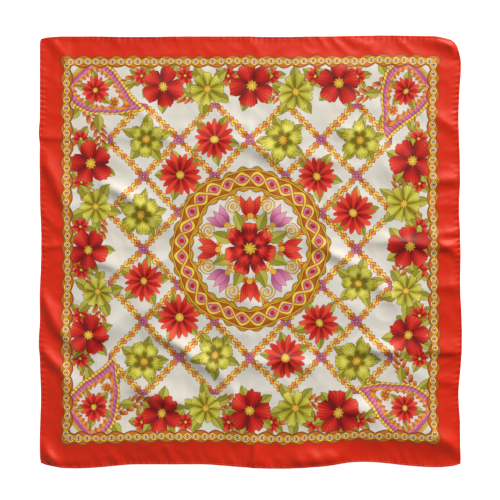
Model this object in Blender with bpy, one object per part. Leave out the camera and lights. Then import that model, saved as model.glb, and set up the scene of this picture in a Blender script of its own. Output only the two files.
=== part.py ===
"""A silk square scarf, laid flat on a table, as solids.

The scarf is one square of silk whose four edges are each rolled into a narrow cord and slip-stitched down.
Its pieces are the silk panel and the four rolled hems. The silk lies on the plane z = 0 and lifts off it
along soft folds and along the creases of its last folding in quarters.

Blender 4.5, metres, +Z up. The origin is the middle of the scarf, on the table. +Y points to its top edge.
"""

import math

import bpy
import numpy as np
from mathutils import Matrix

# Driving sizes
WIDTH = 0.858  # straight edge to straight edge, over the hems
HEIGHT = 0.874
WALL = 0.0014  # the silk's solid thickness
ROLL_HALF_WIDTH = 0.0020  # of a rolled hem, which lies a little flattened
ROLL_HALF_THICKNESS = 0.0014
SEAM_GAP = 0.0003  # between neighbouring pieces
ROLL_SIDES = 8
LEAST_CELL = 0.0142  # the panel's sections are about this far apart
SILK_RED = (0.62, 0.045, 0.022, 1.0)
SILK_IVORY = (0.70, 0.67, 0.59, 1.0)

HEM_REACH = 2 * ROLL_HALF_WIDTH + SEAM_GAP  # from the panel's edge to the outside of its hem
PANEL_HALF_X = WIDTH / 2 - HEM_REACH
PANEL_HALF_Y = HEIGHT / 2 - HEM_REACH

# How the edges wander from straight: side, place along it, how far the edge stands out there, reach along it
EDGE_WAVES = [
    ("left", 0.241, 0.002, 0.030),
    ("left", 0.012, -0.003, 0.110),
    ("left", -0.184, 0.002, 0.040),
    ("left", -0.298, -0.002, 0.080),
    ("right", 0.380, 0.002, 0.050),
    ("right", 0.266, -0.003, 0.090),
    ("right", 0.086, -0.002, 0.050),
    ("right", -0.024, 0.001, 0.070),
    ("right", -0.170, 0.004, 0.110),
    ("right", -0.296, -0.003, 0.060),
    ("top", -0.233, -0.001, 0.090),
    ("top", 0.060, -0.001, 0.080),
    ("top", 0.270, 0.002, 0.120),
    ("bottom", -0.350, 0.008, 0.120),
    ("bottom", 0.055, 0.009, 0.160),
    ("bottom", 0.232, -0.005, 0.080),
    ("bottom", 0.380, 0.006, 0.100),
]
WAVE_DEPTH = 0.12  # how far into the cloth an edge's wandering is felt

# How the corners are drawn aside: corner's x side, its y side, move in x, move in y, reach
CORNER_PULLS = [
    (-1, 1, 0.000, -0.004, 0.045),
    (1, 1, -0.009, -0.010, 0.055),
    (-1, -1, 0.001, 0.004, 0.050),
    (1, -1, 0.002, 0.003, 0.040),
]

# Soft folds, highest in the middle: start x, start y, end x, end y, height, half width, bow of the crest to its left
FOLDS = [
    # across the field
    (-0.350, 0.178, -0.166, 0.058, 0.0072, 0.034, 0.004),
    (-0.238, 0.330, -0.150, 0.218, 0.0050, 0.030, 0.004),
    (-0.196, 0.122, 0.092, 0.172, 0.0080, 0.036, 0.050),
    (0.010, 0.190, 0.110, 0.290, 0.0045, 0.026, -0.004),
    (0.046, 0.222, 0.200, 0.172, 0.0070, 0.032, 0.006),
    (0.142, 0.270, 0.268, 0.262, 0.0045, 0.028, 0.004),
    (0.220, 0.236, 0.344, 0.186, 0.0050, 0.030, 0.004),
    (0.106, 0.030, 0.242, -0.052, 0.0068, 0.028, 0.008),
    (0.210, 0.020, 0.500, 0.004, 0.0068, 0.028, 0.004),
    (0.224, 0.010, 0.336, -0.112, 0.0055, 0.034, 0.004),
    (-0.364, -0.016, -0.224, -0.036, 0.0060, 0.032, 0.006),
    (-0.252, -0.136, -0.132, -0.058, 0.0058, 0.032, -0.004),
    (-0.330, -0.176, -0.216, -0.112, 0.0058, 0.030, -0.004),
    (-0.222, -0.134, 0.006, -0.266, 0.0090, 0.036, 0.012),
    (-0.280, -0.264, -0.094, -0.322, 0.0062, 0.032, 0.004),
    (-0.044, -0.214, 0.184, -0.218, 0.0062, 0.030, 0.004),
    (0.176, -0.192, 0.352, -0.202, 0.0070, 0.030, 0.006),
    (-0.120, 0.024, -0.010, -0.060, 0.0036, 0.040, 0.004),
    (0.020, 0.120, 0.130, 0.030, 0.0040, 0.046, 0.006),
    # through the left border
    (-0.498, 0.226, -0.346, 0.088, 0.0062, 0.026, 0.000),
    (-0.484, 0.128, -0.370, 0.026, 0.0042, 0.022, 0.000),
    (-0.490, 0.018, -0.376, -0.092, 0.0044, 0.024, 0.000),
    (-0.502, -0.048, -0.334, -0.196, 0.0078, 0.028, 0.000),
    (-0.500, -0.148, -0.340, -0.274, 0.0078, 0.028, 0.000),
    (-0.480, 0.262, -0.360, 0.252, 0.0040, 0.022, 0.000),
    # through the right border
    (0.340, 0.312, 0.480, 0.206, 0.0052, 0.024, 0.000),
    (0.336, 0.150, 0.506, 0.148, 0.0054, 0.024, 0.000),
    (0.330, 0.084, 0.510, 0.092, 0.0054, 0.024, 0.000),
    (0.346, -0.074, 0.506, -0.082, 0.0052, 0.022, 0.000),
    (0.350, -0.136, 0.506, -0.140, 0.0044, 0.022, 0.000),
    (0.340, -0.268, 0.506, -0.276, 0.0044, 0.024, 0.000),
    # through the top and bottom borders
    (-0.176, 0.474, -0.076, 0.376, 0.0040, 0.022, 0.000),
    (-0.050, 0.474, 0.048, 0.382, 0.0040, 0.022, 0.000),
    (0.114, 0.474, 0.210, 0.384, 0.0040, 0.022, 0.000),
    (0.196, 0.474, 0.294, 0.380, 0.0044, 0.022, 0.000),
    (0.262, 0.474, 0.354, 0.384, 0.0040, 0.022, 0.000),
    (0.052, -0.388, 0.216, -0.436, 0.0064, 0.030, 0.000),
    # at the corners
    (-0.460, 0.486, -0.340, 0.344, 0.0064, 0.028, 0.000),
    (0.290, 0.462, 0.500, 0.376, 0.0116, 0.032, 0.012),
    (-0.490, -0.366, -0.290, -0.470, 0.0092, 0.030, -0.006),
    (0.344, -0.346, 0.480, -0.446, 0.0068, 0.028, 0.000),
]
STEEP_SHARE = 0.72  # a fold's lower left side is this share as wide as its other side
NARROW_SHARE = 0.40  # and its ends this share as wide as its middle
END_POWER = 1.3  # how fast a fold sinks towards its ends

# Creases of the scarf's last folding: the axis that is constant on the crease, its value, height, half width
CREASES = [
    ("x", -0.003, 0.0030, 0.024),
    ("y", 0.230, 0.0027, 0.023),
    ("y", 0.007, 0.0030, 0.025),
    ("y", -0.210, 0.0030, 0.023),
]
CREASE_WANDER = 0.5  # share of a crease's height that comes and goes along it
CREASE_BEAT = 0.19  # from one strong stretch of a crease to the next


def bell(distance, reach):
    """1 at no distance, falling smoothly to 0 at the reach and past it."""
    return np.clip(1 - (distance / reach) ** 2, 0, 1) ** 2


def plan(x, y):
    """Where a point of the flat square lies in plan: its place, plus the wander of each edge and corner."""
    moved_x, moved_y = x.copy(), y.copy()
    for side, at, out, reach in EDGE_WAVES:
        if side in ("left", "right"):
            sign = -1 if side == "left" else 1
            inward = np.maximum(WIDTH / 2 - sign * x, 0)
            moved_x += sign * out * bell(y - at, reach) * bell(inward, WAVE_DEPTH)
        else:
            sign = -1 if side == "bottom" else 1
            inward = np.maximum(HEIGHT / 2 - sign * y, 0)
            moved_y += sign * out * bell(x - at, reach) * bell(inward, WAVE_DEPTH)
    for side_x, side_y, move_x, move_y, reach in CORNER_PULLS:
        away = np.hypot(x - side_x * WIDTH / 2, y - side_y * HEIGHT / 2)
        moved_x += move_x * bell(away, reach)
        moved_y += move_y * bell(away, reach)
    return moved_x, moved_y


def fold_height(x, y, fold):
    """A soft ridge along a bowed crest, steeper on its lower left side, lower and narrower at its ends."""
    start_x, start_y, end_x, end_y, high, half, bow = fold
    length = math.hypot(end_x - start_x, end_y - start_y)
    run_x, run_y = (end_x - start_x) / length, (end_y - start_y) / length
    along = ((x - start_x) * run_x + (y - start_y) * run_y) / length
    ends = np.clip(4 * along * (1 - along), 0, 1)
    across = (y - start_y) * run_x - (x - start_x) * run_y - bow * ends
    wide = half * (NARROW_SHARE + (1 - NARROW_SHARE) * ends)
    wide = np.where(across < 0, wide * STEEP_SHARE, wide)
    return high * ends**END_POWER * bell(across, wide)


def crease_height(x, y, crease):
    """A low pointed ridge straight across the cloth, which comes and goes along its length."""
    axis, at, high, half = crease
    across, along = (x - at, y) if axis == "x" else (y - at, x)
    beat = np.cos(2 * math.pi * (along - at) / CREASE_BEAT)
    return high * (1 - CREASE_WANDER * (0.5 + 0.5 * beat)) * np.clip(1 - abs(across) / half, 0, 1) ** 1.5


def lift(x, y):
    """How high the silk's underside is above the table: the higher of the folds and the creases, 0 where it rests."""
    folds = sum(fold_height(x, y, fold) for fold in FOLDS)
    creases = np.max([crease_height(x, y, crease) for crease in CREASES], axis=0)
    return np.hypot(folds, creases)


def sections(half, crossings):
    """Places from -half to half about LEAST_CELL apart, with one on each crease in between."""
    stops = [-half, *sorted(crossings), half]
    places = [-half]
    for start, end in zip(stops, stops[1:]):
        count = round((end - start) / LEAST_CELL)
        places += list(np.linspace(start, end, count + 1)[1:])
    return np.array(places)


ACROSS = sections(PANEL_HALF_X, [at for axis, at, *_ in CREASES if axis == "x"])
UP = sections(PANEL_HALF_Y, [at for axis, at, *_ in CREASES if axis == "y"])


def silk_material(name, colour):
    material = bpy.data.materials.new(name)
    material.use_nodes = True
    shader = material.node_tree.nodes["Principled BSDF"]
    shader.inputs["Base Color"].default_value = colour
    shader.inputs["Roughness"].default_value = 0.42
    shader.inputs["Metallic"].default_value = 0.0
    return material


def add_object(name, points, faces, material):
    mesh = bpy.data.meshes.new(name)
    mesh.from_pydata(points, [], faces)
    mesh.materials.append(material)
    mesh.shade_smooth()
    made = bpy.data.objects.new(name, mesh)
    bpy.context.scene.collection.objects.link(made)
    return made


def panel_faces(under_z, columns, rows):
    """Triangles of the top and the underside, split along each cell's more level diagonal, and of the rim."""
    size = columns * rows
    faces = []
    for i in range(columns - 1):
        for j in range(rows - 1):
            a, b = i * rows + j, (i + 1) * rows + j
            c, d = b + 1, a + 1
            if abs(under_z[i, j] - under_z[i + 1, j + 1]) <= abs(under_z[i + 1, j] - under_z[i, j + 1]):
                halves = [(a, b, c), (a, c, d)]
            else:
                halves = [(a, b, d), (b, c, d)]
            for p, q, r in halves:
                faces += [(p, q, r), (p + size, r + size, q + size)]
    rim = [i * rows for i in range(columns)]
    rim += [(columns - 1) * rows + j for j in range(1, rows)]
    rim += [i * rows + rows - 1 for i in range(columns - 2, -1, -1)]
    rim += [j for j in range(rows - 2, 0, -1)]
    for p, q in zip(rim, rim[1:] + rim[:1]):
        faces += [(p, p + size, q + size), (p, q + size, q)]
    return faces


def make_panel(material):
    """The silk square: a grid of sections on plan() and lift(), with a wall of WALL under its face."""
    x, y = np.meshgrid(ACROSS, UP, indexing="ij")
    plan_x, plan_y = plan(x, y)
    under = lift(x, y)
    top_points = np.stack([plan_x, plan_y, under + WALL], axis=-1).reshape(-1, 3)
    under_points = np.stack([plan_x, plan_y, under], axis=-1).reshape(-1, 3)
    points = np.concatenate([top_points, under_points])
    return add_object("silk_panel", points.tolist(), panel_faces(under, len(ACROSS), len(UP)), material)


def make_hem(name, along_x, sign, material):
    """One side's roll: an eight-sided oval at each of the panel's sections, its ends mitred at the corners."""
    places = ACROSS if along_x else UP
    half_out = PANEL_HALF_Y if along_x else PANEL_HALF_X
    turn = 2 * math.pi * (np.arange(ROLL_SIDES) + 0.5)[None, :] / ROLL_SIDES
    to_flats = 1 / math.cos(math.pi / ROLL_SIDES)
    out = SEAM_GAP + ROLL_HALF_WIDTH * (1 + to_flats * np.cos(turn))
    up = ROLL_HALF_THICKNESS * (1 + to_flats * np.sin(turn))
    mitre = np.zeros_like(places)[:, None]
    mitre[0], mitre[-1] = -1, 1
    along = places[:, None] + mitre * (out - SEAM_GAP / math.sqrt(2))
    outward = sign * (half_out + out) + 0 * along
    x, y = (along, outward) if along_x else (outward, along)
    middle = 0 * along + sign * (half_out + SEAM_GAP + ROLL_HALF_WIDTH)
    base = lift(along, middle) if along_x else lift(middle, along)
    plan_x, plan_y = plan(x, y)
    points = np.stack([plan_x, plan_y, base + up], axis=-1).reshape(-1, 3)
    rings = len(places)
    faces = []
    for ring in range(rings - 1):
        for k in range(ROLL_SIDES):
            a, b = ring * ROLL_SIDES + k, ring * ROLL_SIDES + (k + 1) % ROLL_SIDES
            faces.append((a, b, b + ROLL_SIDES, a + ROLL_SIDES))
    faces.append(tuple(range(ROLL_SIDES))[::-1])
    faces.append(tuple((rings - 1) * ROLL_SIDES + k for k in range(ROLL_SIDES)))
    if (sign < 0) == along_x:
        faces = [face[::-1] for face in faces]
    return add_object(name, points.tolist(), faces, material)


def centre_in_plan(objects):
    """Moves every mesh by the same step, so that the middle of the whole scarf is at x = y = 0."""
    corners = np.array([vertex.co[:2] for made in objects for vertex in made.data.vertices])
    middle_x, middle_y = (corners.min(axis=0) + corners.max(axis=0)) / 2
    for made in objects:
        made.data.transform(Matrix.Translation((-middle_x, -middle_y, 0)))


def main():
    for old in list(bpy.data.objects):
        bpy.data.objects.remove(old)
    printed = silk_material("printed_silk", SILK_IVORY)
    border = silk_material("border_silk", SILK_RED)
    pieces = [
        make_panel(printed),
        make_hem("hem_top", True, 1, border),
        make_hem("hem_bottom", True, -1, border),
        make_hem("hem_left", False, -1, border),
        make_hem("hem_right", False, 1, border),
    ]
    centre_in_plan(pieces)


main()
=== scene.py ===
"""A silk square scarf laid flat: the printed cloth, its four rolled hems and their slip stitches.

Sizes are in metres. +X points to the scarf's right edge, +Y to its top edge and +Z up from the table.
"""

import math

import bmesh
import bpy
import numpy as np
from mathutils import Matrix, Vector


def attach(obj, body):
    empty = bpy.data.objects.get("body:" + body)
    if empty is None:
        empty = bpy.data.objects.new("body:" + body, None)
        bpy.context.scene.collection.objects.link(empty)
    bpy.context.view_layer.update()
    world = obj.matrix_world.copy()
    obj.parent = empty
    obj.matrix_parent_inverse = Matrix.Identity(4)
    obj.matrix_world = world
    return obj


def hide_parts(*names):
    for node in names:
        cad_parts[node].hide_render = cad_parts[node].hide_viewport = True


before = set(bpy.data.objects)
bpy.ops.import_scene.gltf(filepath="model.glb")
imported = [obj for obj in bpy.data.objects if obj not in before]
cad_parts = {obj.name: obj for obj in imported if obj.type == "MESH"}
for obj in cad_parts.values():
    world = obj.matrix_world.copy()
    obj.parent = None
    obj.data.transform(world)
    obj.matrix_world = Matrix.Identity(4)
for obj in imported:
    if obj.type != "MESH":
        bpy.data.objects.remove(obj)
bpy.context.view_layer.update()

# ---------------------------------------------------------------- the scarf's sizes

WIDTH = 0.858
HEIGHT = 0.874
SILK = 0.0004  # the cloth's thickness
ROLL_HALF_WIDTH = 0.0024
ROLL_HALF_THICKNESS = 0.0008
HEM_REACH = 0.0038  # from the cloth's edge to the outside of its hem
SEAM_GAP = -0.0010  # the cloth's edge is inside the roll
PANEL_HALF_X = WIDTH / 2 - HEM_REACH
PANEL_HALF_Y = HEIGHT / 2 - HEM_REACH
CELL = 0.0041  # of the cloth's grid
CLOSE_STOPS = [0.0, 0.0018, 0.0036, 0.0056, 0.0080]  # of the grid, in from the cloth's edge
ROLL_RISE = 0.0007  # how far the cloth rises to lie over the roll
ROLL_REACH = 0.0090
ROLL_SIDES = 12
HEM_STEP = 0.0014  # between a hem's sections
PINCH = 0.42  # how far a stitch draws the hem in, as a share of its thickness
STITCH_PITCH = 0.0058
STITCH_SIDES = 6
STITCH_RINGS = 5
STITCH_SLANT = 0.0006  # half of how far a stitch runs along the hem
STITCH_REACH = 0.0013  # half of how far it runs across
STITCH_SET_OUT = 0.0002  # from the cloth's edge to a stitch's middle
STITCH_ARCH = 0.0006
STITCH_CLEAR = 0.0001  # between the silk and the thread's middle at a stitch's ends
THREAD = 0.00030  # the thread's radius
THREAD_TAPER = 0.75  # share of it that is lost at a stitch's ends
PIT = 0.00022  # how deep a stitch draws the silk down
PIT_INSET = 0.0006  # from the cloth's edge to a pit's middle
PIT_ALONG = 0.0013  # half of a pit's size along the hem
PIT_ACROSS = 0.0022  # and across it
PUCKER = 0.00040  # how high the silk puckers between stitches
PUCKER_REACH = 0.018
RIB = 0.000025  # how high the twill's ribs stand
RIB_PITCH = 0.0011
SLUB = 0.00021  # how high its slubs stand

LENS = 85.0
SENSOR = 36.0
VIEW_WIDTH = 1.0210  # of the table, as the camera frames it
CAMERA_X = -0.0010
CAMERA_Y = 0.0041
TABLE_HALF = 4.0
TABLE_DROP = 0.0002  # how far the table's top is below z = 0

# How the edges wander from straight: side, place along it, how far the edge stands out there, reach along it
EDGE_WAVES = [
    ("left", 0.241, 0.002, 0.030),
    ("left", 0.012, -0.003, 0.110),
    ("left", -0.184, 0.002, 0.040),
    ("left", -0.298, -0.002, 0.080),
    ("right", 0.380, 0.002, 0.050),
    ("right", 0.266, -0.003, 0.090),
    ("right", 0.086, -0.002, 0.050),
    ("right", -0.024, 0.001, 0.070),
    ("right", -0.170, 0.004, 0.110),
    ("right", -0.296, -0.003, 0.060),
    ("top", -0.233, -0.001, 0.090),
    ("top", 0.060, -0.001, 0.080),
    ("top", 0.270, 0.002, 0.120),
    ("bottom", -0.350, 0.008, 0.120),
    ("bottom", 0.055, 0.009, 0.160),
    ("bottom", 0.232, -0.005, 0.080),
    ("bottom", 0.380, 0.006, 0.100),
]
WAVE_DEPTH = 0.12  # how far into the cloth an edge's wandering is felt

# How the corners are drawn aside: corner's x side, its y side, move in x, move in y, reach
CORNER_PULLS = [
    (-1, 1, 0.000, -0.004, 0.045),
    (1, 1, -0.009, -0.010, 0.055),
    (-1, -1, 0.001, 0.004, 0.050),
    (1, -1, 0.002, 0.003, 0.040),
]
PULL_POWER = 1.25
CORNER_TUCK = 0.0010  # how far a corner's tip is turned in, which rounds it
TUCK_SHARE = 0.12  # and how much further, as a share of its pull
CORNER_REACH = 0.013

# Soft folds, highest in the middle: start x, start y, end x, end y, height, half width, bow of the crest to its
# left, and how wide the side to its right is, as a share of the side to its left
FOLDS = [
    # across the field, from its top
    (-0.250, 0.300, -0.135, 0.195, 0.0052, 0.030, 0.004, 0.70),
    (-0.200, 0.148, -0.015, 0.243, 0.0064, 0.028, 0.004, 0.85),
    (-0.062, 0.238, 0.088, 0.163, 0.0066, 0.030, 0.008, 0.72),
    (0.010, 0.174, 0.115, 0.272, 0.0070, 0.026, -0.004, 0.75),
    (0.060, 0.194, 0.205, 0.176, 0.0062, 0.032, 0.006, 0.66),
    (0.150, 0.246, 0.275, 0.230, 0.0042, 0.034, 0.004, 0.70),
    (0.225, 0.225, 0.335, 0.120, 0.0038, 0.040, 0.004, 0.70),
    (-0.345, 0.166, -0.148, 0.032, 0.0084, 0.036, 0.004, 0.62),
    (-0.110, 0.030, -0.010, 0.098, 0.0036, 0.026, 0.000, 0.75),
    (0.000, 0.105, 0.112, 0.022, 0.0050, 0.034, 0.004, 0.70),
    (0.028, 0.030, 0.118, -0.060, 0.0042, 0.028, 0.004, 0.75),
    (0.106, 0.026, 0.244, -0.056, 0.0078, 0.030, 0.006, 0.66),
    (0.200, 0.015, 0.420, 0.009, 0.0062, 0.026, 0.000, 0.62),
    (0.205, -0.016, 0.320, -0.138, 0.0070, 0.034, 0.004, 0.70),
    (-0.120, 0.024, -0.010, -0.060, 0.0046, 0.036, 0.004, 0.70),
    (-0.370, -0.020, -0.236, -0.050, 0.0078, 0.034, 0.004, 0.60),
    (-0.245, -0.056, -0.145, -0.012, 0.0050, 0.024, 0.000, 0.75),
    (-0.258, -0.160, -0.128, -0.068, 0.0078, 0.030, 0.000, 0.85),
    (-0.368, -0.224, -0.238, -0.126, 0.0112, 0.032, 0.000, 0.95),
    (-0.238, -0.140, -0.012, -0.290, 0.0122, 0.036, 0.004, 0.60),
    (-0.262, -0.278, -0.110, -0.326, 0.0090, 0.034, 0.004, 0.66),
    (-0.034, -0.231, 0.168, -0.236, 0.0090, 0.030, 0.004, 0.66),
    (-0.022, -0.262, -0.030, -0.404, 0.0094, 0.032, 0.000, 0.80),
    (0.182, -0.206, 0.352, -0.214, 0.0100, 0.032, 0.004, 0.56),
    (0.176, -0.320, 0.276, -0.364, 0.0078, 0.032, 0.004, 0.66),
    # through the left border
    (-0.455, 0.234, -0.345, 0.060, 0.0078, 0.026, 0.000, 0.70),
    (-0.484, 0.128, -0.370, 0.026, 0.0030, 0.022, 0.000, 0.70),
    (-0.520, 0.230, -0.350, 0.230, 0.0042, 0.020, 0.000, 0.40),
    (-0.520, 0.006, -0.350, 0.006, 0.0044, 0.016, 0.000, 0.60),
    (-0.472, -0.052, -0.330, -0.228, 0.0104, 0.028, 0.000, 0.60),
    (-0.466, -0.140, -0.344, -0.310, 0.0088, 0.026, 0.000, 0.75),
    # through the right border
    (0.345, 0.297, 0.475, 0.200, 0.0048, 0.026, 0.000, 0.80),
    (0.336, 0.142, 0.510, 0.142, 0.0066, 0.028, 0.000, 0.75),
    (0.340, 0.088, 0.510, 0.090, 0.0022, 0.020, 0.000, 0.80),
    (0.350, 0.036, 0.512, 0.036, 0.0054, 0.018, 0.000, 0.60),
    (0.350, 0.012, 0.512, 0.012, 0.0042, 0.016, 0.000, 0.60),
    (0.345, 0.052, 0.475, -0.050, 0.0060, 0.022, 0.000, 0.70),
    (0.346, -0.090, 0.508, -0.062, 0.0058, 0.026, 0.000, 0.60),
    (0.318, -0.210, 0.516, -0.210, 0.0072, 0.038, 0.000, 0.28),
    (0.345, -0.268, 0.508, -0.276, 0.0040, 0.022, 0.000, 0.75),
    # through the top and bottom borders
    (-0.030, 0.474, 0.034, 0.386, 0.0026, 0.018, 0.000, 0.60),
    (0.160, 0.474, 0.262, 0.384, 0.0026, 0.018, 0.000, 0.60),
    (0.262, 0.474, 0.354, 0.384, 0.0028, 0.020, 0.000, 0.60),
    (-0.140, 0.372, 0.560, 0.372, 0.0040, 0.060, 0.000, 1.20),
    (-0.400, -0.382, -0.010, -0.382, 0.0098, 0.058, 0.000, 1.00),
    (-0.172, -0.384, -0.166, -0.462, 0.0030, 0.012, 0.000, 0.60),
    (0.009, -0.358, 0.012, -0.496, 0.0100, 0.028, 0.000, 0.55),
    (0.054, -0.416, 0.202, -0.430, 0.0104, 0.046, 0.000, 1.30),
    (-0.302, 0.462, -0.254, 0.404, 0.0018, 0.014, 0.000, 0.80),
    (-0.176, 0.462, -0.132, 0.408, 0.0015, 0.012, 0.000, 0.80),
    (0.084, 0.460, 0.134, 0.408, 0.0017, 0.009, 0.000, 0.80),
    (0.120, 0.460, 0.164, 0.406, 0.0016, 0.008, 0.000, 0.80),
    (0.148, 0.460, 0.204, 0.400, 0.0022, 0.010, 0.000, 0.70),
    (0.174, 0.458, 0.226, 0.402, 0.0018, 0.009, 0.000, 0.80),
    (0.150, -0.372, 0.490, -0.382, 0.0092, 0.080, 0.000, 0.55),
    (-0.364, -0.220, -0.360, -0.474, 0.0062, 0.060, 0.000, 0.90),
    (-0.364, -0.398, -0.322, -0.456, 0.0024, 0.012, 0.000, 0.70),
    (-0.284, -0.400, -0.252, -0.458, 0.0020, 0.011, 0.000, 0.70),
    (-0.092, -0.398, -0.064, -0.458, 0.0020, 0.012, 0.000, 0.70),
    # at the corners
    (-0.438, 0.486, -0.345, 0.333, 0.0036, 0.024, 0.000, 0.70),
    (0.294, 0.474, 0.486, 0.384, 0.0112, 0.034, 0.004, 0.75),
    (-0.490, -0.360, -0.326, -0.478, 0.0092, 0.026, 0.000, 1.00),
    (0.340, -0.342, 0.484, -0.449, 0.0080, 0.028, 0.000, 0.95),
]
FLARE = 1.35  # how much wider a fold's foot spreads than its half width
CREST_ROUND = 0.12  # how rounded its crest is, as a share of its width
END_POWER = 1.5  # how fast a fold sinks towards its ends
FOLD_SHARE = 0.85  # of a fold's height that the silk keeps
CREASE_SHARE = 0.60
EDGE_REST = 0.55  # of a fold's height that is lost at the scarf's edge
EDGE_REACH = 0.016
HILL_REST = 0.80  # of the hills' height that is lost there
HILL_EDGE_REACH = 0.140
DRIFT = 0.0045  # how far the folds wander from their crests' lines
DRIFT_PITCH = 0.13

HILL = 0.0022  # the broad low hills between folds
HILL_PITCH = 0.2
RUCK = 0.0009  # the long low swells between folds
RUCK_PITCH = 0.072
RUCK_LEAN = -0.45  # radians from the scarf's width
RIPPLE = 0.0012  # the ripples along the hems
RIPPLE_PITCH = 0.033
CRUMPLE = 0.0010  # the faint creases all over
CRUMPLE_PITCH = 0.060
CRUMPLE_ROUND = 0.16  # how rounded their crests are
CRUMPLE_FOOT = 0.85  # how far out their feet are, as a share of a swell

# Creases of the scarf's last folding: the axis that is constant on the crease, its value, height, half width
CREASES = [
    ("x", -0.003, 0.0026, 0.024),
    ("y", 0.230, 0.0012, 0.023),
    ("y", 0.007, 0.0018, 0.025),
    ("y", -0.210, 0.0012, 0.023),
]
CREASE_WANDER = 0.5  # share of a crease's height that comes and goes along it
CREASE_BEAT = 0.19  # from one strong stretch of a crease to the next
CREASE_ROUND = 0.002  # how rounded its crest is
CREASE_POWER = 1.7  # how fast its sides level out


# ---------------------------------------------------------------- how the cloth lies

def bell(distance, reach):
    """1 at no distance, falling smoothly to 0 at the reach: the square of (1 - (distance / reach) squared)."""
    return np.clip(1 - (distance / reach) ** 2, 0, 1) ** 2


def plan(x, y):
    """Where a point of the flat square lies in plan: its place, plus the wander of each edge and corner."""
    moved_x, moved_y = x.copy(), y.copy()
    for side, at, out, reach in EDGE_WAVES:
        if side in ("left", "right"):
            sign = -1 if side == "left" else 1
            inward = np.maximum(WIDTH / 2 - sign * x, 0)
            moved_x += sign * out * bell(y - at, reach) * bell(inward, WAVE_DEPTH)
        else:
            sign = -1 if side == "bottom" else 1
            inward = np.maximum(HEIGHT / 2 - sign * y, 0)
            moved_y += sign * out * bell(x - at, reach) * bell(inward, WAVE_DEPTH)
    for side_x, side_y, move_x, move_y, reach in CORNER_PULLS:
        away = np.hypot(x - side_x * WIDTH / 2, y - side_y * HEIGHT / 2)
        pull = np.clip(1 - away / reach, 0, 1) ** PULL_POWER
        tuck = CORNER_TUCK + TUCK_SHARE * math.hypot(move_x, move_y)
        tuck = tuck * np.clip(1 - away / CORNER_REACH, 0, 1)
        moved_x += move_x * pull - side_x * tuck
        moved_y += move_y * pull - side_y * tuck
    return moved_x, moved_y


def swell(x, y, pitch, seed):
    """Uneven hills and hollows about a pitch apart, mostly -1 to 1: nine sine waves, each a golden angle on."""
    total = 0.0
    for number in range(9):
        heading = seed + 2.4 * number
        wave = pitch * (0.72 + 0.56 * ((3.7 * seed + 0.618 * number) % 1))
        run = x * math.cos(heading) + y * math.sin(heading)
        total = total + np.sin(2 * math.pi * run / wave + 4 * seed + 1.7 * number)
    return total / 3


def fold_height(x, y, fold):
    """A ridge along a bowed crest: height * (4a(1 - a)) ** END_POWER along, (1 - distance / width) ** 2 across."""
    start_x, start_y, end_x, end_y, high, half, bow, steep = fold
    length = math.hypot(end_x - start_x, end_y - start_y)
    run_x, run_y = (end_x - start_x) / length, (end_y - start_y) / length
    along = ((x - start_x) * run_x + (y - start_y) * run_y) / length
    ends = np.clip(4 * along * (1 - along), 0, 1)
    across = (y - start_y) * run_x - (x - start_x) * run_y - bow * ends
    wide = half * FLARE * (1.15 - 0.15 * ends)
    wide = np.where(across < 0, wide * steep, wide)
    flank = np.clip(1 - np.hypot(across / wide, CREST_ROUND), 0, 1) ** 2 / (1 - CREST_ROUND) ** 2
    return FOLD_SHARE * high * ends**END_POWER * flank


def crease_height(x, y, crease):
    """A ridge straight across the cloth, (1 - distance / half width) ** CREASE_POWER, that comes and goes along it."""
    axis, at, high, half = crease
    across, along = (x - at, y) if axis == "x" else (y - at, x)
    beat = np.cos(2 * math.pi * (along - at) / CREASE_BEAT)
    ridge = np.clip(1 - np.hypot(across, CREASE_ROUND) / half, 0, 1) ** CREASE_POWER
    return CREASE_SHARE * high * (1 - CREASE_WANDER * (0.5 + 0.5 * beat)) * ridge


def hem_ripples(x, y):
    """Slanting ripples that the hem stitches draw in the border: uneven sines, fading as bell() over a side's reach."""
    total = 0.0
    for sign, out, along, half, lean, seed, share, reach in (
        (1, y, x, HEIGHT / 2, -0.8, 0.3, 0.75, 0.036),
        (-1, y, x, HEIGHT / 2, 0.6, 1.9, 2.20, 0.044),
        (-1, x, y, WIDTH / 2, 0.7, 3.1, 0.70, 0.032),
        (1, x, y, WIDTH / 2, -0.15, 4.4, 0.70, 0.032),
    ):
        inward, straight = half - sign * out, 0 * along
        uneven = 1.6 * swell(along, straight, 0.16, seed) + 0.5 * swell(along, straight, 0.05, seed + 0.7)
        wave = 0.5 + 0.5 * np.sin(2 * math.pi * (along + lean * inward) / RIPPLE_PITCH + uneven)
        strength = 0.65 + 0.35 * swell(along, straight, 0.11, seed + 2)
        total = total + share * RIPPLE * np.clip(strength, 0.1, 1) * wave * bell(inward, reach)
    return total


def crumples(x, y):
    """Faint creases where swells cross zero: CRUMPLE * (CRUMPLE_FOOT - |swell|), rounded, or 0 further out."""
    across = np.hypot(swell(x, y, CRUMPLE_PITCH, 6.1), CRUMPLE_ROUND)
    return CRUMPLE * np.clip(CRUMPLE_FOOT - across, 0, 1)


def rucks(x, y):
    """Long low swells that lean by RUCK_LEAN: RUCK / 2 * (1 + a drawn-out swell) ** 1.4."""
    along = x * math.cos(RUCK_LEAN) + y * math.sin(RUCK_LEAN)
    across = y * math.cos(RUCK_LEAN) - x * math.sin(RUCK_LEAN)
    return RUCK / 2 * np.maximum(1 + swell(0.45 * along, across, RUCK_PITCH, 1.4), 0) ** 1.4


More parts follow.
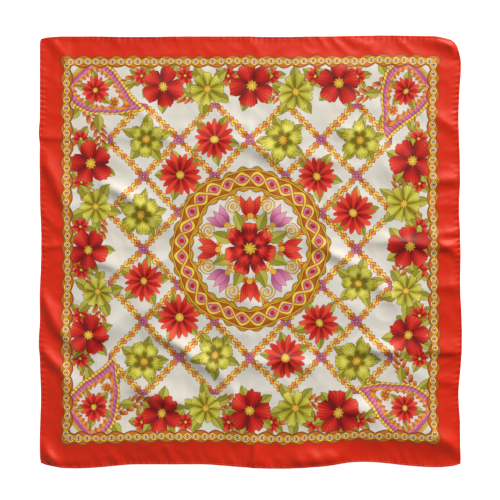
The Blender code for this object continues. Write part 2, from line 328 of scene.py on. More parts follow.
def rest(x, y):
    """How high the silk lies: hills and rucks, plus the hypotenuse of folds and creases, plus ripples and crumples."""
    drift_x = x + DRIFT * swell(x, y, DRIFT_PITCH, 0.9)
    drift_y = y + DRIFT * swell(x, y, DRIFT_PITCH, 2.2)
    folds = sum(fold_height(drift_x, drift_y, fold) for fold in FOLDS)
    creases = np.max([crease_height(x, y, crease) for crease in CREASES], axis=0)
    hills = HILL * np.maximum(1 + 0.6 * swell(x, y, HILL_PITCH, 5.2), 0)
    inward = np.maximum(np.minimum(WIDTH / 2 - abs(x), HEIGHT / 2 - abs(y)), 0)
    inner = 1 - EDGE_REST * bell(inward, EDGE_REACH)
    low = (1 - HILL_REST * bell(inward, HILL_EDGE_REACH)) * (hills + rucks(x, y))
    return low + inner * (np.hypot(folds, creases) + hem_ripples(x, y) + crumples(drift_x, drift_y))


def lift(x, y):
    """How high the silk's underside is above the table: rest(), and up over the roll at its edge."""
    inward = np.maximum(np.minimum(PANEL_HALF_X - abs(x), PANEL_HALF_Y - abs(y)), 0)
    return rest(x, y) + ROLL_RISE * bell(inward, ROLL_REACH)


# ---------------------------------------------------------------- mesh making

def make_mesh(name, points, faces, material, maps=None):
    """A smooth-shaded object from an array of points and one of three- or four-cornered faces."""
    mesh = bpy.data.meshes.new(name)
    corners = faces.shape[1]
    mesh.vertices.add(len(points))
    mesh.vertices.foreach_set("co", np.ascontiguousarray(points, np.float32).ravel())
    mesh.loops.add(faces.size)
    mesh.loops.foreach_set("vertex_index", np.ascontiguousarray(faces, np.int32).ravel())
    mesh.polygons.add(len(faces))
    mesh.polygons.foreach_set("loop_start", np.arange(0, faces.size, corners, dtype=np.int32))
    mesh.polygons.foreach_set("loop_total", np.full(len(faces), corners, np.int32))
    for map_name, spots in (maps or {}).items():
        layer = mesh.uv_layers.new(name=map_name)
        layer.uv.foreach_set("vector", np.ascontiguousarray(spots[faces.ravel()], np.float32).ravel())
    mesh.update(calc_edges=True)
    mesh.validate()
    mesh.shade_smooth()
    mesh.materials.append(material)
    made = bpy.data.objects.new(name, mesh)
    bpy.context.scene.collection.objects.link(made)
    return made


def grid_faces(rows, columns):
    """The four-cornered faces of a grid whose point (i, j) is number i * columns + j."""
    first = (np.arange(rows - 1)[:, None] * columns + np.arange(columns - 1)).ravel()
    return np.stack([first, first + columns, first + columns + 1, first + 1], axis=1)


def grid_rim(rows, columns):
    """The numbers of the grid's border points, once round anticlockwise."""
    low = np.arange(rows) * columns
    right = (rows - 1) * columns + np.arange(1, columns)
    high = np.arange(rows - 2, -1, -1) * columns + columns - 1
    left = np.arange(columns - 2, 0, -1)
    return np.concatenate([low, right, high, left])


def tube_faces(rings, sides):
    """The four-cornered faces of a tube, whose section i starts at point i * sides."""
    section = np.arange(rings - 1)[:, None] * sides
    first = (section + np.arange(sides)).ravel()
    second = (section + (np.arange(sides) + 1) % sides).ravel()
    return np.stack([first, second, second + sides, first + sides], axis=1)


def tube_caps(rings, sides):
    """The four-cornered faces that close the tube's first section and its last."""
    k = np.arange(1, sides // 2)
    cap = np.stack([k - 1, k, sides - 1 - k, sides - k], axis=1)
    return np.concatenate([cap[:, ::-1], cap + (rings - 1) * sides])


def stops(half, crossings):
    """Places from -half to half about CELL apart, closer along the edges, and one on each crease in between."""
    close = np.array(CLOSE_STOPS)
    marks = [close[-1] - half, *sorted(crossings), half - close[-1]]
    runs = [np.linspace(a, b, round((b - a) / CELL) + 1)[1:] for a, b in zip(marks, marks[1:])]
    return np.concatenate([close - half, *runs, half - close[-2::-1]])


# ---------------------------------------------------------------- the pieces

def make_cloth(material):
    """The silk square: a grid on plan() and lift(), face and reverse SILK apart, closed round its edge."""
    across = stops(PANEL_HALF_X, [at for axis, at, *_ in CREASES if axis == "x"])
    up = stops(PANEL_HALF_Y, [at for axis, at, *_ in CREASES if axis == "y"])
    x, y = np.meshgrid(across, up, indexing="ij")
    plan_x, plan_y = plan(x, y)
    under = lift(x, y)
    face = np.stack([plan_x, plan_y, under + SILK], axis=-1).reshape(-1, 3)
    reverse = np.stack([plan_x, plan_y, under], axis=-1).reshape(-1, 3)
    quads = grid_faces(*x.shape)
    rim = grid_rim(*x.shape)
    after = np.roll(rim, -1)
    edge = np.stack([rim, rim + x.size, after + x.size, after], axis=1)
    faces = np.concatenate([quads, quads[:, ::-1] + x.size, edge])
    cut = np.stack([x, y], axis=-1).reshape(-1, 2)
    part_x = (x / PANEL_HALF_X * 0.5 + 0.5).ravel()
    part_y = (y / PANEL_HALF_Y * 0.5 + 0.5).ravel()
    bake_face = np.stack([0.002 + 0.996 * part_x, 0.002 + 0.836 * part_y], axis=1)
    bake_reverse = np.stack([0.002 + 0.996 * part_x, 0.846 + 0.152 * part_y], axis=1)
    maps = {"cut": np.concatenate([cut, cut]), "OFBake": np.concatenate([bake_face, bake_reverse])}
    made = make_mesh("silk_cloth", np.concatenate([face, reverse]), faces, material, maps)
    made.data.polygons.foreach_set("use_smooth", np.arange(len(faces)) < len(faces) - len(rim))
    return made


def make_hem(name, along_x, sign, material):
    """One side's roll: an oval of ROLL_SIDES points at each section, pinched at every stitch, mitred at its ends."""
    half_along, half_out = (PANEL_HALF_X, PANEL_HALF_Y) if along_x else (PANEL_HALF_Y, PANEL_HALF_X)
    places = np.linspace(-half_along, half_along, round(2 * half_along / HEM_STEP) + 1)[:, None]
    turn = 2 * math.pi * (np.arange(ROLL_SIDES) + 0.5)[None, :] / ROLL_SIDES
    beat = np.cos(2 * math.pi * places / STITCH_PITCH)
    full = 1 - PINCH * np.clip(beat, 0, 1) ** 2
    full = full + 0.05 * np.sin(places * 61 + 2 * sign) + 0.04 * np.sin(places * 143 + sign)
    out = SEAM_GAP + ROLL_HALF_WIDTH * (1 + np.cos(turn) * (0.6 + 0.4 * full))
    up = ROLL_HALF_THICKNESS * (1 + np.sin(turn) * full)
    mitre = np.zeros_like(places)
    mitre[0], mitre[-1] = -1, 1
    along = places + mitre * out
    outward = sign * (half_out + out) + 0 * along
    x, y = (along, outward) if along_x else (outward, along)
    plan_x, plan_y = plan(x, y)
    points = np.stack([plan_x, plan_y, rest(x, y) + up], axis=-1).reshape(-1, 3)
    faces = np.concatenate([tube_faces(len(places), ROLL_SIDES), tube_caps(len(places), ROLL_SIDES)])
    if (sign < 0) == along_x:
        faces = faces[:, ::-1]
    cut = np.stack([x, y], axis=-1).reshape(-1, 2)
    return make_mesh(name, points, faces, material, {"cut": cut})


def make_stitches(material):
    """Slip stitches: a short slanting thread over the hem's inner side at every STITCH_PITCH, as capped prisms."""
    share = np.linspace(-1, 1, STITCH_RINGS)[None, :, None]
    turn = 2 * math.pi * np.arange(STITCH_SIDES)[None, None, :] / STITCH_SIDES
    thick = THREAD * (1 - THREAD_TAPER * share**4)
    arch = STITCH_ARCH * (1 - share**2) + thick * np.sin(turn)
    pieces = []
    for along_x in (True, False):
        half_along, half_out = (PANEL_HALF_X, PANEL_HALF_Y) if along_x else (PANEL_HALF_Y, PANEL_HALF_X)
        count = int(half_along / STITCH_PITCH) - 1
        at = STITCH_PITCH * np.arange(-count, count + 1)
        along = at[:, None, None] + STITCH_SLANT * share + thick * np.cos(turn)
        inward = STITCH_REACH * share - STITCH_SET_OUT + 0 * along
        for sign in (-1, 1):
            outward = sign * (half_out - inward)
            x, y = (along, outward) if along_x else (outward, along)
            plan_x, plan_y = plan(x, y)
            z = lift(x, y) + SILK + arch + STITCH_CLEAR
            pieces.append(np.stack([plan_x, plan_y, z], axis=-1).reshape(len(at), -1, 3))
    points = np.concatenate(pieces)
    stitches, size = points.shape[:2]
    one = np.concatenate([tube_faces(STITCH_RINGS, STITCH_SIDES), tube_caps(STITCH_RINGS, STITCH_SIDES)])
    faces = (np.arange(stitches)[:, None, None] * size + one[None]).reshape(-1, 4)
    made = make_mesh("hem_stitches", points.reshape(-1, 3), faces, material)
    return turned_out(made)


def turned_out(made):
    """The same object with every face pointing away from its own solid."""
    shape = bmesh.new()
    shape.from_mesh(made.data)
    bmesh.ops.recalc_face_normals(shape, faces=shape.faces)
    shape.to_mesh(made.data)
    shape.free()
    return made


# ---------------------------------------------------------------- shader sums

class Worked:
    """A value that a finish works out at each point. Sums and products of it add Math nodes to the finish."""

    def __init__(self, finish, socket):
        self.finish, self.socket = finish, socket

    def maths(self, operation, *others):
        return self.finish.node("ShaderNodeMath", {"operation": operation}, [self, *others])

    def held(self):
        """The same value, held between 0 and 1."""
        return self.finish.node("ShaderNodeClamp", None, [self])

    def __add__(self, other):
        return self.maths("ADD", other)

    def __sub__(self, other):
        return self.maths("SUBTRACT", other)

    def __rsub__(self, other):
        return self.finish.node("ShaderNodeMath", {"operation": "SUBTRACT"}, [other, self])

    def __mul__(self, other):
        return self.maths("MULTIPLY", other)

    def __truediv__(self, other):
        return self.maths("DIVIDE", other)

    def __pow__(self, other):
        return self.maths("POWER", other)

    def __gt__(self, other):
        return self.maths("GREATER_THAN", other)

    def __lt__(self, other):
        return self.maths("LESS_THAN", other)

    def __neg__(self):
        return self.maths("MULTIPLY", -1.0)

    def __abs__(self):
        return self.maths("ABSOLUTE")

    __radd__ = __add__
    __rmul__ = __mul__


class Finish:
    """The shader of one of the scarf's finishes."""

    def __init__(self, name):
        self.material = bpy.data.materials.new(name)
        self.material.use_nodes = True
        self.tree = self.material.node_tree
        self.surface = self.tree.nodes["Principled BSDF"]

    def node(self, kind, settings=None, sockets=(), out=0):
        """Adds a node: its settings first, then each socket's value or link. Returns its output."""
        made = self.tree.nodes.new(kind)
        for name, value in (settings or {}).items():
            setattr(made, name, value)
        for key, value in sockets.items() if isinstance(sockets, dict) else enumerate(sockets):
            self.put(made.inputs[key], value)
        return Worked(self, made.outputs[out])

    def put(self, socket, value):
        if isinstance(value, Worked):
            self.tree.links.new(value.socket, socket)
        else:
            socket.default_value = value

    def mix(self, share, first, second):
        """The first colour where share is 0, the second where it is 1."""
        return self.node("ShaderNodeMix", {"data_type": "RGBA"}, {0: share, 6: first, 7: second}, out=2)

    def x_and_y(self, place):
        """The first two numbers of a place, each as its own value."""
        apart = self.node("ShaderNodeSeparateXYZ", None, [place]).socket.node
        return Worked(self, apart.outputs[0]), Worked(self, apart.outputs[1])

    def done(self, surface):
        """Sets the surface's sockets, by name, and returns the finished material."""
        for name, value in surface.items():
            self.put(self.surface.inputs[name], value)
        return self.material


def least(first, second):
    return first.maths("MINIMUM", second)


def most(first, second):
    return first.maths("MAXIMUM", second)


def sine(value):
    return value.maths("SINE")


def cosine(value):
    return value.maths("COSINE")


def part_of(value):
    """What is left of a value after its whole number, 0 to 1."""
    return value.maths("FRACT")


def inside(depth, soft=0.00035):
    """1 where depth is positive, 0 where it is negative, with an edge twice as wide as soft, once a mix holds it."""
    return depth.maths("MULTIPLY_ADD", 0.5 / soft, 0.5)


def eased(value, low, high):
    """0 up to low, 1 from high on, and a straight rise between, once a mix holds it."""
    return value.maths("MULTIPLY_ADD", 1 / (high - low), -low / (high - low))


def far_from(x, y):
    """How far the point (x, y) is from the origin."""
    return (x * x + y * y).maths("SQRT")


def polar(x, y):
    return far_from(x, y), y.maths("ARCTAN2", x)


def paint(red, green, blue):
    """A dye from its red, green and blue on a screen, 0 to 255, as the shader's linear colour."""
    shares = [value / 255 for value in (red, green, blue)]
    return (*[v / 12.92 if v < 0.04045 else ((v + 0.055) / 1.055) ** 2.4 for v in shares], 1.0)


# ---------------------------------------------------------------- the dyes and the printed motifs

CORAL = paint(200, 31, 4)
ROLLED = paint(206, 38, 10)  # the border's dye where the silk is rolled over itself
IVORY = paint(204, 199, 188)
IVORY_EYES = (paint(176, 150, 120), IVORY, IVORY)
OUTLINE = paint(96, 46, 20)
RED = (paint(104, 4, 10), paint(184, 20, 18), paint(222, 74, 52))
GREEN = (paint(110, 100, 15), paint(180, 172, 48), paint(215, 209, 110))
LEAFY = (paint(90, 82, 17), paint(148, 142, 41), paint(190, 184, 82))
GOLD = (paint(136, 90, 14), paint(204, 157, 34), paint(234, 202, 92))
AMBER = (paint(120, 50, 10), paint(194, 98, 26), paint(226, 148, 54))
LILAC = (paint(116, 40, 84), paint(176, 86, 128), paint(208, 142, 166))
RIBBON_SLANT = 0.82  # a ribbon's width as a share of its measure straight across, because it runs aslant


def shade(finish, colours, tone):
    """Deep, middle and light of a dye as tone goes from 0 to 1."""
    deep, middle, light = colours
    darker = finish.mix(eased(tone, 0.0, 0.5), deep, middle)
    return finish.mix(eased(tone, 0.5, 1.0), darker, light)


def filled(finish, ground, depth, colour, line=0.0009, outline=OUTLINE):
    """Lays a motif on the ground: its colour with a thin drawn outline, where its depth is positive."""
    drawn = finish.mix(inside(depth - line), outline, colour)
    return finish.mix(inside(depth), ground, drawn)


def blossom(finish, ground, x, y, radius, petals, turn, colours, rings=0.0, eye=0.22):
    """An open flower. Its rim is radius * (0.58 + 0.42 * lobes ** 0.5), lobes = |cos(petals * angle / 2)|."""
    away, angle = polar(x, y)
    angle = angle + turn
    lobes = abs(cosine(angle * (petals * 0.5)))
    frill = sine(angle * 3 + 1) * 0.035 + sine(angle * 29) * 0.018 + sine(angle * 17 + 2) * 0.02
    rim = (lobes ** 0.5 * 0.42 - lobes ** 14 * 0.09 + frill + 0.58) * radius
    share = away / rim
    vein = sine(angle * 37 + share * 3) * 0.12
    tone = share * 0.62 + (lobes - 0.75) * 0.7 + vein + sine(angle * 2 + 0.6) * 0.12
    if rings:
        tone = tone + sine((share + lobes * 0.22) * (2 * math.pi * rings)) * 0.3
    flower = filled(finish, ground, rim - away, shade(finish, colours, tone))
    bead = cosine(angle * 9) * 0.03 + eye
    core = shade(finish, GOLD, away / radius * -2.6 + sine(angle * 9) * 0.3 + 0.8)
    return filled(finish, flower, bead * radius - away, core, 0.0008)


def daisy(finish, ground, x, y, radius, petals, turn, colours):
    """Narrow pointed petals in two rows, the shorter back row half a petal round from the front one, about an eye."""
    away, angle = polar(x, y)
    angle = angle + turn
    back = abs(sine(angle * (petals * 0.5)))
    front = abs(cosine(angle * (petals * 0.5)))
    rough = sine(angle * 5 + 1) * 0.05 + sine(angle * 3) * 0.04
    tone = away / radius * 0.9 - 0.15
    rim = (back ** 1.6 * 0.52 + rough + 0.36) * radius
    ground = filled(finish, ground, rim - away, shade(finish, colours, tone + back * 0.8 - 0.7), 0.0007)
    rim = (front ** 1.6 * 0.58 - rough + 0.38) * radius
    ground = filled(finish, ground, rim - away, shade(finish, colours, tone + front * 0.9 - 0.45), 0.0007)
    core = shade(finish, GOLD, away / radius * -3.2 + sine(angle * 13) * 0.35 + 0.9)
    return filled(finish, ground, radius * 0.2 - away, core, 0.0009)


def leaf(finish, ground, x, y, length, width, colours=LEAFY):
    """A leaf along +x from the origin: half as wide as width * 4a(1 - a) * (1.3 - 0.6a), a = x / length."""
    a = (x / length).held()
    depth = a * (1 - a) * (1.3 - a * 0.6) * (4 * width) - abs(y + sine(x * 900) * 0.0003) - 0.0004
    ribs = part_of((x - abs(y) * 1.1) / 0.0052)
    tone = (y > 0) * 0.34 + ribs * 0.24 + 0.26
    rib = inside(0.0006 - abs(y), 0.0003).held() * 0.8
    fill = finish.mix(rib, shade(finish, colours, tone), colours[0])
    return filled(finish, ground, depth, fill, 0.0007, colours[0])


def leaf_star(finish, ground, x, y, count, turn, start, length, width, colours=LEAFY):
    """Leaves all round a point, from start out."""
    away, angle = polar(x, y)
    fold = (part_of((angle + turn) * (count / (2 * math.pi))) - 0.5) * (2 * math.pi / count)
    return leaf(finish, ground, away * cosine(fold) - start, away * sine(fold), length, width, colours)


def laurel(finish, ground, s, t, reach, pitch, colours):
    """An endless stem along s with slanting leaves on both sides."""
    reached = abs(t) / reach
    place = (part_of((s - abs(t) * 0.9) / pitch + (t > 0) * 0.5) - 0.5) * pitch
    leaflet = reached * (1 - reached) * (1.9 * pitch) - abs(place)
    halves = shade(finish, colours, (place > 0) * 0.4 + reached * 0.4)
    ground = filled(finish, ground, leaflet, halves, 0.0006, colours[0])
    return filled(finish, ground, 0.0012 - abs(t), colours[1], 0.0005, colours[0])


def tulip(finish, ground, x, y, length, colours, trim=GOLD):
    """A tulip along +x: a pointed middle petal before two that lean out, by lean in radians."""
    lean = 0.40
    side_x = x * math.cos(lean) + abs(y) * math.sin(lean)
    side_y = abs(y) * math.cos(lean) - x * math.sin(lean)
    a = (side_x / length).held()
    outer = a * (1 - a) * (4 * 0.21 * length) * (1.25 - a * 0.5) - abs(side_y) - 0.0006
    b = (x / (length * 0.92)).held()
    inner = b * (1 - b) * (4 * 0.19 * length) * (1.3 - b * 0.6) - abs(y) - 0.0006
    streaks = sine(y / length * 70) * 0.12
    ground = filled(finish, ground, outer, shade(finish, colours, a * 0.9 + 0.1 + streaks), 0.0008)
    ground = filled(finish, ground, inner, shade(finish, colours, b * 0.7 + 0.35 + streaks), 0.0008)
    return filled(finish, ground, length * 0.13 - far_from(x - length * 0.06, y), trim[1], 0.0006)


def curl(finish, ground, x, y, radius, pitch, width, turn, colours):
    """A scroll: the spiral whose distance from its eye grows by pitch each turn, out to radius."""
    away, angle = polar(x, y)
    phase = away / pitch - (angle + turn) * (1 / (2 * math.pi))
    line = width / 2 - abs(part_of(phase) - 0.5) * pitch
    line = least(most(line, width * 0.9 - away), radius - away)
    return filled(finish, ground, line, shade(finish, colours, line * (1.4 / width)), 0.0005, colours[0])


def twined(s, t, wave, swing, width):
    """The ribbon t = swing * sin(2 pi s / wave) and its mirror: the path, which ribbon is over, and both depths."""
    phase = s * (2 * math.pi / wave)
    path = sine(phase) * swing
    order = cosine(phase) > 0
    first = width / 2 - abs(t - path) * RIBBON_SLANT
    second = width / 2 - abs(t + path) * RIBBON_SLANT
    return path, order, first + (second - first) * order, second + (first - second) * order


def interlace(finish, ground, s, t, wave, swing, width, colours, eyes, drops):
    """Two twined ribbons in one dye, over and under by turns, with filled eyes and a round drop in each."""
    path, _, under, over = twined(s, t, wave, swing, width)
    eye = abs(path) - abs(t)
    ground = finish.mix(inside(eye), ground, shade(finish, eyes, eye * (0.9 / swing) + 0.2))
    middle = (part_of(s * (2 / wave)) - 0.5) * (wave / 2)
    ground = filled(finish, ground, swing * 0.42 - far_from(middle, t), drops[1], 0.0007)
    for ribbon in (under, over):
        ground = filled(finish, ground, ribbon, shade(finish, colours, ribbon * (1.7 / width) + 0.1), 0.0008)
    return ground


def twist(finish, ground, s, t, wave, swing, width, first_dye, second_dye):
    """Two twined ribbons, each in its own dye, with nothing in their eyes."""
    _, order, under, over = twined(s, t, wave, swing, width)
    for ribbon, share in ((under, order), (over, 1 - order)):
        dye = [finish.mix(share, one, two) for one, two in zip(first_dye, second_dye)]
        ground = filled(finish, ground, ribbon, shade(finish, dye, ribbon * (1.9 / width) + 0.1), 0.0007)
    return ground


def paisley(finish, ground, x, y, length, width, bend):
    """A drop along +x whose tip bends by bend * a cubed, with bands of gold, lilac and amber round an ivory heart."""
    a = (x / length).held()
    bent = y - a * a * a * bend
    half = (a * (1 - a) * 4) ** 0.6 * (1.35 - a * 1.1) * width
    depth = least(half - abs(bent), least(x, length - x) - 0.0030)
    beads = sine(x * (2 * math.pi / 0.0075)) * 0.5 + 0.5
    ground = filled(finish, ground, depth + beads * 0.0018, shade(finish, GOLD, beads * 0.6 + 0.3), 0.0010)
    ground = filled(finish, ground, depth - 0.0052, shade(finish, LILAC, beads * 0.35 + depth * 45.0 - 0.1), 0.0008)
    scales = abs(sine(polar(x - length * 0.36, bent)[1] * 11)) * 0.0050
    ground = filled(finish, ground, depth - 0.0180 + scales, shade(finish, AMBER, scales * 130.0 + 0.3), 0.0008)
    return filled(finish, ground, depth - 0.0255 + scales, IVORY, 0.0008)


# ---------------------------------------------------------------- the print

FIELD = 0.381  # from the field's middle to its edge, where the plain border begins
FIELD_MIDDLE = 0.003  # above the scarf's own middle
FIELD_SQUASH = 0.978  # the field is this much of its height wide
OPENING = 0.1025  # of the trellis, from ribbon to ribbon
GARLAND = 0.323  # from the middle to the vine down each side
GARLAND_PITCH = 0.088
RING = 0.134  # from the middle to the medallion's ring of ribbon
RING_WAVES = 14
BAND = FIELD - 0.007  # from the middle to the narrow band along the field's edge
BAND_WAVES = 11
WAVER = 0.007  # twice as far as a printed line strays


def side_places(u, v):
    """s along and t out from the middle for the nearest side, turned with it, and a number for the side."""
    tall = abs(u) > abs(v)
    along_side = v * u.maths("SIGN")
    along_top = -(u * v.maths("SIGN"))
    s = along_top + (along_side - along_top) * tall
    return s, most(abs(u), abs(v)), tall + (u + v > 0) * 2


def printed(finish):
    """The whole print as one colour, worked out from the cloth's cut places."""
    cut = finish.node("ShaderNodeUVMap", {"uv_map": "cut"})
    noise = {"Vector": cut, "Scale": 26.0, "Detail": 1.0}
    waver = finish.node("ShaderNodeTexNoise", {"noise_dimensions": "2D"}, noise, out=1)
    waver = finish.node("ShaderNodeVectorMath", {"operation": "SUBTRACT"}, [waver, (0.5, 0.5, 0.5)])
    waver = finish.node("ShaderNodeVectorMath", {"operation": "MULTIPLY_ADD"}, [waver, (WAVER, WAVER, 0.0), cut])
    u, v = finish.x_and_y(waver)
    v = (v - FIELD_MIDDLE) * FIELD_SQUASH
    s, t, side = side_places(u, v)

    cloth = trellis(finish, IVORY, u, v, t)
    cloth = garland(finish, cloth, s, t, side)
    cloth = corners(finish, cloth, u, v)
    cloth = medallion(finish, cloth, u, v)
    cloth = blossom(finish, cloth, u, v, 0.055, 7, 0.2, RED, rings=2.0)
    cloth = finish.mix(inside(FIELD - t), CORAL, cloth)
    return edge_band(finish, cloth, s, t)


def garland(finish, cloth, s, t, side):
    """Down each side a winding vine, on it large red and green flowers by turns, and small red daisies between."""
    winding = t - GARLAND - sine(s * (math.pi / GARLAND_PITCH)) * 0.018
    cloth = laurel(finish, cloth, s, winding, 0.017, 0.0140, AMBER)
    number = (s / GARLAND_PITCH).maths("ROUND")
    odd = part_of(number * 0.5) * 2
    turn = number * 2.1 + side * 1.3
    here = s - number * GARLAND_PITCH + sine(turn * 2.7) * 0.005
    out = t - GARLAND + odd * 0.012 - 0.004 + cosine(turn * 1.9) * 0.004
    out = out + (1 - (abs(number) < 2.5))
    between = (part_of(s / GARLAND_PITCH) - 0.5) * GARLAND_PITCH
    cloth = leaf_star(finish, cloth, between, t - GARLAND - 0.022, 5, side * 0.7, 0.008, 0.022, 0.0080)
    cloth = daisy(finish, cloth, between, t - GARLAND - 0.022, 0.019, 6, side * 1.1, RED)
    cloth = leaf_star(finish, cloth, here, out, 5, turn * 0.7, 0.020, 0.036, 0.0110)
    colours = [finish.mix(odd, red, green) for red, green in zip(RED, GREEN)]
    size = sine(turn * 3.3) * 0.003 + 0.045 - odd * 0.009
    return blossom(finish, cloth, here, out, size, odd * 3 + 5, turn, colours)


def corners(finish, cloth, u, v):
    """In each corner a paisley along the diagonal, with leaves behind it and two flowers in it."""
    mirror = (u * v).maths("SIGN")
    inward = 0.500 - (abs(u) + abs(v)) * math.sqrt(0.5)
    across = (abs(u) - abs(v)) * mirror * math.sqrt(0.5)
    cloth = leaf_star(finish, cloth, inward - 0.060, across, 7, 0.3, 0.044, 0.036, 0.0100)
    cloth = paisley(finish, cloth, inward + 0.004, across, 0.158, 0.060, 0.046)
    cloth = leaf_star(finish, cloth, inward - 0.053, across - 0.002, 5, 0.63, 0.016, 0.024, 0.0085)
    cloth = daisy(finish, cloth, inward - 0.053, across - 0.002, 0.031, 8, 0.4, RED)
    return daisy(finish, cloth, inward - 0.098, across - 0.011, 0.012, 6, 0.4, AMBER)


def trellis(finish, cloth, u, v, t):
    """A slanting lattice of twisted ribbon with a rosette on each crossing, and in each opening a flower with leaves.

    Going round the middle, flowers a knight's move from it, (2, 1), are red, as are those at (2, 0). The rest are
    green.
    """
    p, q = (u + v) * math.sqrt(0.5), (u - v) * math.sqrt(0.5)
    row, column = (p / OPENING).maths("ROUND"), (q / OPENING).maths("ROUND")
    x, y = p - row * OPENING, q - column * OPENING
    steep = abs(x) > abs(y)
    beside = OPENING / 2 - most(abs(x), abs(y))
    along = p + (q - p) * steep
    drawn = twist(finish, cloth, along, beside, OPENING / 5, 0.0040, 0.0060, GOLD, AMBER)
    cross_x, cross_y = OPENING / 2 - abs(x), OPENING / 2 - abs(y)
    drawn = leaf_star(finish, drawn, cross_x, cross_y, 4, math.pi / 4, 0.004, 0.016, 0.0055, AMBER)
    drawn = blossom(finish, drawn, cross_x, cross_y, 0.0112, 8, 0.0, LILAC)
    cloth = finish.mix(t < 4 * OPENING * math.sqrt(0.5), cloth, drawn)
    wide = most(abs(row + column), abs(row - column))
    far_out = row * row + column * column
    shown = (wide < 3.5) * (far_out > 3.5)
    turn = row * 1.7 + column * 2.9
    x = x + (1 - shown) + sine(turn * 2.3) * 0.006
    y = y + cosine(turn * 1.9) * 0.006
    knight = abs(part_of((row * 2 + column) * 0.2 + 0.5) - 0.5) < 0.05
    red = most(knight, far_out < 4.5)
    size = sine(turn * 3.1) * 0.003 + 0.041
    cloth = leaf_star(finish, cloth, x, y, 5, turn, 0.018, 0.036, 0.0105)
    flower = blossom(finish, cloth, x, y, size, 6, turn, GREEN, rings=1.6)
    return finish.mix(red, flower, daisy(finish, cloth, x, y, size + 0.003, 9, turn, RED))


def medallion(finish, cloth, u, v):
    """The middle: a lobed ring of interlaced ribbon round eight flowers on stalks and one large red flower."""
    away, angle = polar(u, v)
    lobed = away - abs(cosine(angle * 4)) * 0.007
    ring = 0.0195 - abs(lobed - RING)
    eighths = angle * (8 / (2 * math.pi))
    fold = (part_of(eighths + 0.5) - 0.5) * (2 * math.pi / 8)
    half_fold = (part_of(eighths) - 0.5) * (2 * math.pi / 8)
    odd = part_of(eighths.maths("ROUND") * 0.5) * 2
    x, y = away * cosine(fold), away * sine(fold)
    colours = [finish.mix(odd, red, lilac) for red, lilac in zip(RED, LILAC)]
    cloth = tulip(finish, cloth, x - 0.062, y, 0.050, colours)
    x, y = away * cosine(half_fold), away * sine(half_fold)
    cloth = curl(finish, cloth, x - 0.092, y, 0.0165, 0.0062, 0.0034, 0.0, GOLD)
    cloth = leaf_star(finish, cloth, u, v, 8, 0.0, 0.038, 0.046, 0.0120)
    scallop = abs(sine(angle * 16)) * 0.0085
    outer = scallop + 0.1505 - lobed
    cloth = filled(finish, cloth, least(outer, lobed - 0.140), shade(finish, GOLD, outer * 70.0), 0.0009)
    inner = scallop * 0.6 - 0.1130 + lobed
    cloth = filled(finish, cloth, least(inner, 0.140 - lobed), shade(finish, GOLD, inner * 90.0), 0.0009)
    cloth = filled(finish, cloth, ring, GOLD[1], 0.0010)
    cloth = filled(finish, cloth, ring - 0.0034, shade(finish, AMBER, ring * 34.0), 0.0008)
    wave = 2 * math.pi * RING / RING_WAVES
    return interlace(finish, cloth, angle * RING, lobed - RING, wave, 0.0118, 0.0070, GOLD, LILAC, RED)


def edge_band(finish, cloth, s, t):
    """Along the field's edge a narrow band of interlaced gold ribbon on amber, with a scalloped edging each side."""
    across, wave = t - BAND, BAND / BAND_WAVES
    leaves = abs(cosine(s * (math.pi / wave))) * 0.0060
    edging = leaves + 0.0072 - abs(across)
    cloth = filled(finish, cloth, edging, shade(finish, AMBER, edging * 110.0), 0.0009)
    cloth = filled(finish, cloth, 0.0068 - abs(across), shade(finish, AMBER, abs(across) * 120.0), 0.0009)
    return interlace(finish, cloth, s, across, wave, 0.0054, 0.0042, GOLD, IVORY_EYES, RED)


def hem_pull(x, y):
    """What the stitches do to the silk: how deep it is at one of their pits, 0 to 1, and its puckers, -1 to 1.

    A pit is 1 - (along / PIT_ALONG) squared - (across / PIT_ACROSS) squared. The puckers are
    cos(pi along / STITCH_PITCH), slanted and unevenly spaced, and fade out over PUCKER_REACH.
    """
    from_side, from_end = PANEL_HALF_X - abs(x), PANEL_HALF_Y - abs(y)
    inward = least(from_side, from_end)
    along = x + (y - x) * (from_side < from_end)
    beside = (part_of(along / STITCH_PITCH + 0.5) - 0.5) * (STITCH_PITCH / PIT_ALONG)
    across = (inward - PIT_INSET) / PIT_ACROSS
    strength = sine(along * 23 + 1) * 0.35 + 0.65
    pit = (1 - beside * beside - across * across).held() * strength
    fade = (1 - inward / PUCKER_REACH).held()
    wave = cosine(along * (math.pi / STITCH_PITCH) + sine(along * 41) * 1.6 + inward * 110)
    return pit, wave * strength * fade * fade


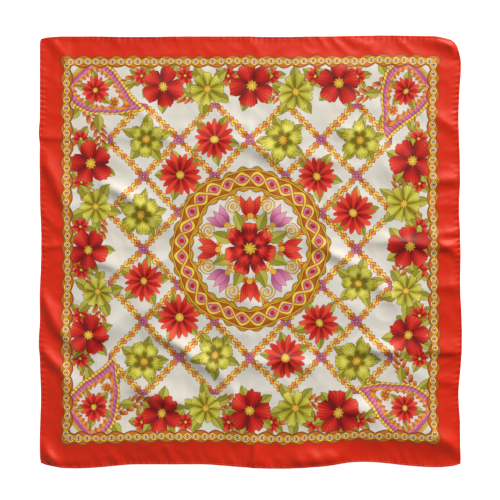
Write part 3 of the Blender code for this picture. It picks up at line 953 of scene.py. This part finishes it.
def silk_finish(name, dye=None):
    """Printed twill: soft sheen, fine slanting ribs and slight slubs, on the print or on one plain dye, with painted
    shade in the stitch pits.
    """
    finish = Finish(name)
    colour = printed(finish) if dye is None else dye
    cut = finish.node("ShaderNodeUVMap", {"uv_map": "cut"})
    x, y = finish.x_and_y(cut)
    pit, pucker = hem_pull(x, y)
    place = finish.node("ShaderNodeTexCoord", out=3)
    uneven = finish.node("ShaderNodeTexNoise", None, {"Vector": place, "Scale": 9.0, "Detail": 2.0})
    # random tone from the noise, and painted shade: the colour is darkened by up to 22% in each stitch pit
    tone_and_pit_shade = uneven * 0.10 + 0.95 - pit * 0.22
    tone_and_pit_shade_tint = finish.node("ShaderNodeCombineColor", None, [tone_and_pit_shade, tone_and_pit_shade, tone_and_pit_shade])
    product = {"data_type": "RGBA", "blend_type": "MULTIPLY"}
    ribs = sine((x + y) * (2 * math.pi / RIB_PITCH))
    slubs = finish.node("ShaderNodeTexNoise", None, {"Vector": cut, "Scale": 70.0, "Detail": 3.0})
    height = ribs * RIB + slubs * SLUB + pucker * PUCKER - pit * PIT
    return finish.done({
        "Base Color": finish.node("ShaderNodeMix", product, {0: 1.0, 6: colour, 7: tone_and_pit_shade_tint}, out=2),
        "Roughness": uneven * 0.16 + 0.36,
        "Sheen Weight": 0.03,
        "Sheen Roughness": 0.4,
        "Specular IOR Level": 0.40,
        "Specular Tint": paint(255, 226, 204),
        "Normal": finish.node("ShaderNodeBump", None, {"Strength": 1.0, "Distance": 1.0, "Height": height}),
    })


def thread_finish():
    """Twisted silk sewing thread, a little deeper than the border."""
    finish = Finish("silk_thread")
    place = finish.node("ShaderNodeTexCoord", out=3)
    strands = finish.node("ShaderNodeTexWave", {"bands_direction": "DIAGONAL"}, {"Vector": place, "Scale": 900.0})
    return finish.done({
        "Base Color": finish.mix(strands * 0.4, paint(176, 34, 16), paint(206, 62, 40)),
        "Roughness": strands * 0.2 + 0.5,
        "Specular IOR Level": 0.2,
    })


# ---------------------------------------------------------------- the studio

def soft_lamp(name, place, target, size, watts):
    lamp = bpy.data.lights.new(name, "AREA")
    lamp.shape = "DISK"
    lamp.size = size
    lamp.energy = watts
    made = bpy.data.objects.new(name, lamp)
    bpy.context.scene.collection.objects.link(made)
    made.location = place
    made.rotation_euler = (Vector(target) - Vector(place)).to_track_quat("-Z", "Y").to_euler()


def make_floor():
    """A wide pale table top just under the silk, faintly lit from within so that it throws no hard shadow."""
    finish = Finish("pale_table")
    place = finish.node("ShaderNodeTexCoord", out=3)
    grain = finish.node("ShaderNodeTexNoise", None, {"Vector": place, "Scale": 3.0, "Detail": 2.0})
    pale = finish.done({
        "Base Color": finish.mix(grain, paint(250, 250, 250), paint(254, 254, 254)),
        "Roughness": 0.9,
        "Emission Color": (1.0, 1.0, 1.0, 1.0),
        "Emission Strength": 0.8,
    })
    points = np.array([(x * TABLE_HALF, y * TABLE_HALF, -TABLE_DROP) for x, y in ((-1, -1), (1, -1), (1, 1), (-1, 1))])
    floor = make_mesh("table_top", points, np.array([[0, 1, 2, 3]]), pale)


def make_studio():
    scene = bpy.context.scene
    scene.view_settings.view_transform = "Standard"
    world = bpy.data.worlds.new("studio")
    scene.world = world
    world.use_nodes = True
    world.node_tree.nodes["Background"].inputs["Color"].default_value = (1.0, 0.985, 0.96, 1.0)
    world.node_tree.nodes["Background"].inputs["Strength"].default_value = 0.26
    soft_lamp("key", (3.0, 6.0, 4.2), (0, 0, 0), 2.4, 990)
    soft_lamp("fill", (-3.4, -2.8, 5.0), (0, 0, 0), 4.0, 24)
    camera = bpy.data.cameras.new("above")
    camera.lens = LENS
    camera.sensor_width = SENSOR
    made = bpy.data.objects.new("above", camera)
    scene.collection.objects.link(made)
    made.location = (CAMERA_X, CAMERA_Y, VIEW_WIDTH * LENS / SENSOR)
    scene.camera = made


def centre_in_plan(pieces):
    """Moves all the pieces together so that the middle of their shared box is over the origin."""
    corners_at = np.array([corner for piece in pieces for corner in piece.bound_box])
    middle = (corners_at.min(axis=0) + corners_at.max(axis=0)) / 2
    for piece in pieces:
        piece.data.transform(Matrix.Translation((-middle[0], -middle[1], 0)))


def main():
    silk = silk_finish("printed_silk")
    border = silk_finish("coral_silk", ROLLED)
    cloth = make_cloth(silk)
    hems = [
        make_hem("roll_top", True, 1, border),
        make_hem("roll_bottom", True, -1, border),
        make_hem("roll_left", False, -1, border),
        make_hem("roll_right", False, 1, border),
    ]
    stitches = make_stitches(thread_finish())
    centre_in_plan([cloth, *hems, stitches])
    for piece, slot in [(cloth, "printed_silk"), *[(hem, "border_silk") for hem in hems], (stitches, "border_silk")]:
        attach(piece, "root")
    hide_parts("silk_panel")
    for hem, node in zip(hems, ("hem_top", "hem_bottom", "hem_left", "hem_right")):
        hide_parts(node)
    make_floor()
    make_studio()


main()
